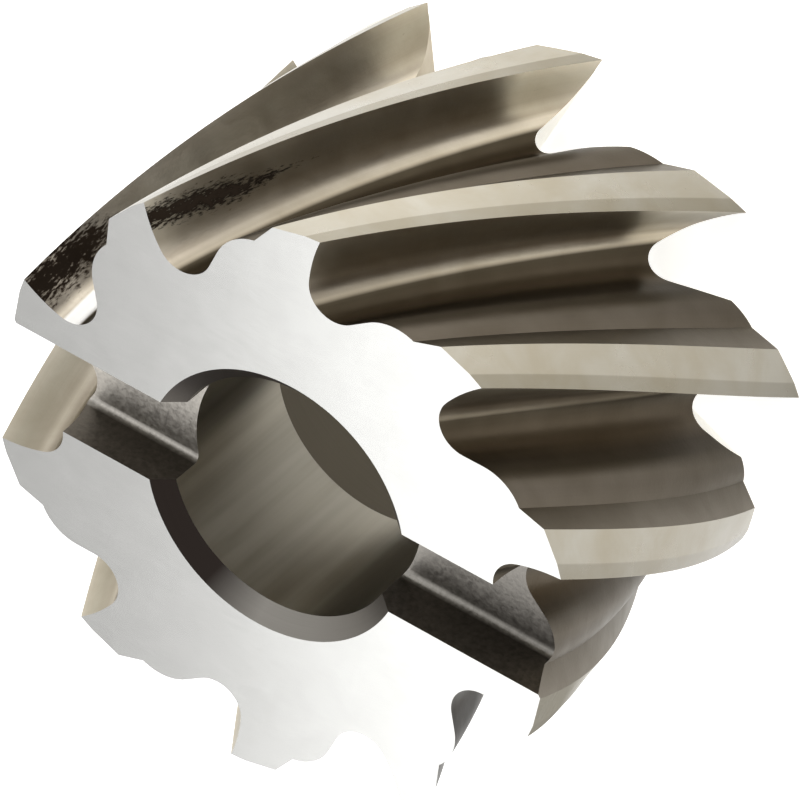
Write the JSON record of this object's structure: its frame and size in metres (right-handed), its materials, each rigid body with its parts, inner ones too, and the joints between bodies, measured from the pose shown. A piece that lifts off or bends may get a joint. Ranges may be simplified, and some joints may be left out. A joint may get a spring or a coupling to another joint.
{
  "type": "shell end mill",
  "caption": "Right-hand helical shell end mill: ring-shaped steel cutter with teeth on rim and end, a bore, a front counterbore and a drive slot across the rear face.",
  "frame": {"origin": "on the axis, in the plane of the end-tooth tips", "axes": "+Z along the axis from the cutting end to the slotted rear face, X along the drive slot"},
  "size_m": [0.0635, 0.0634, 0.0413],
  "materials": {
    "shell_end_mill": "ground rear face and lands, darker milled flutes"
  },
  "bodies": {
    "root": {"shell_end_mill": "shell_end_mill"}
  },
  "joints": []
}
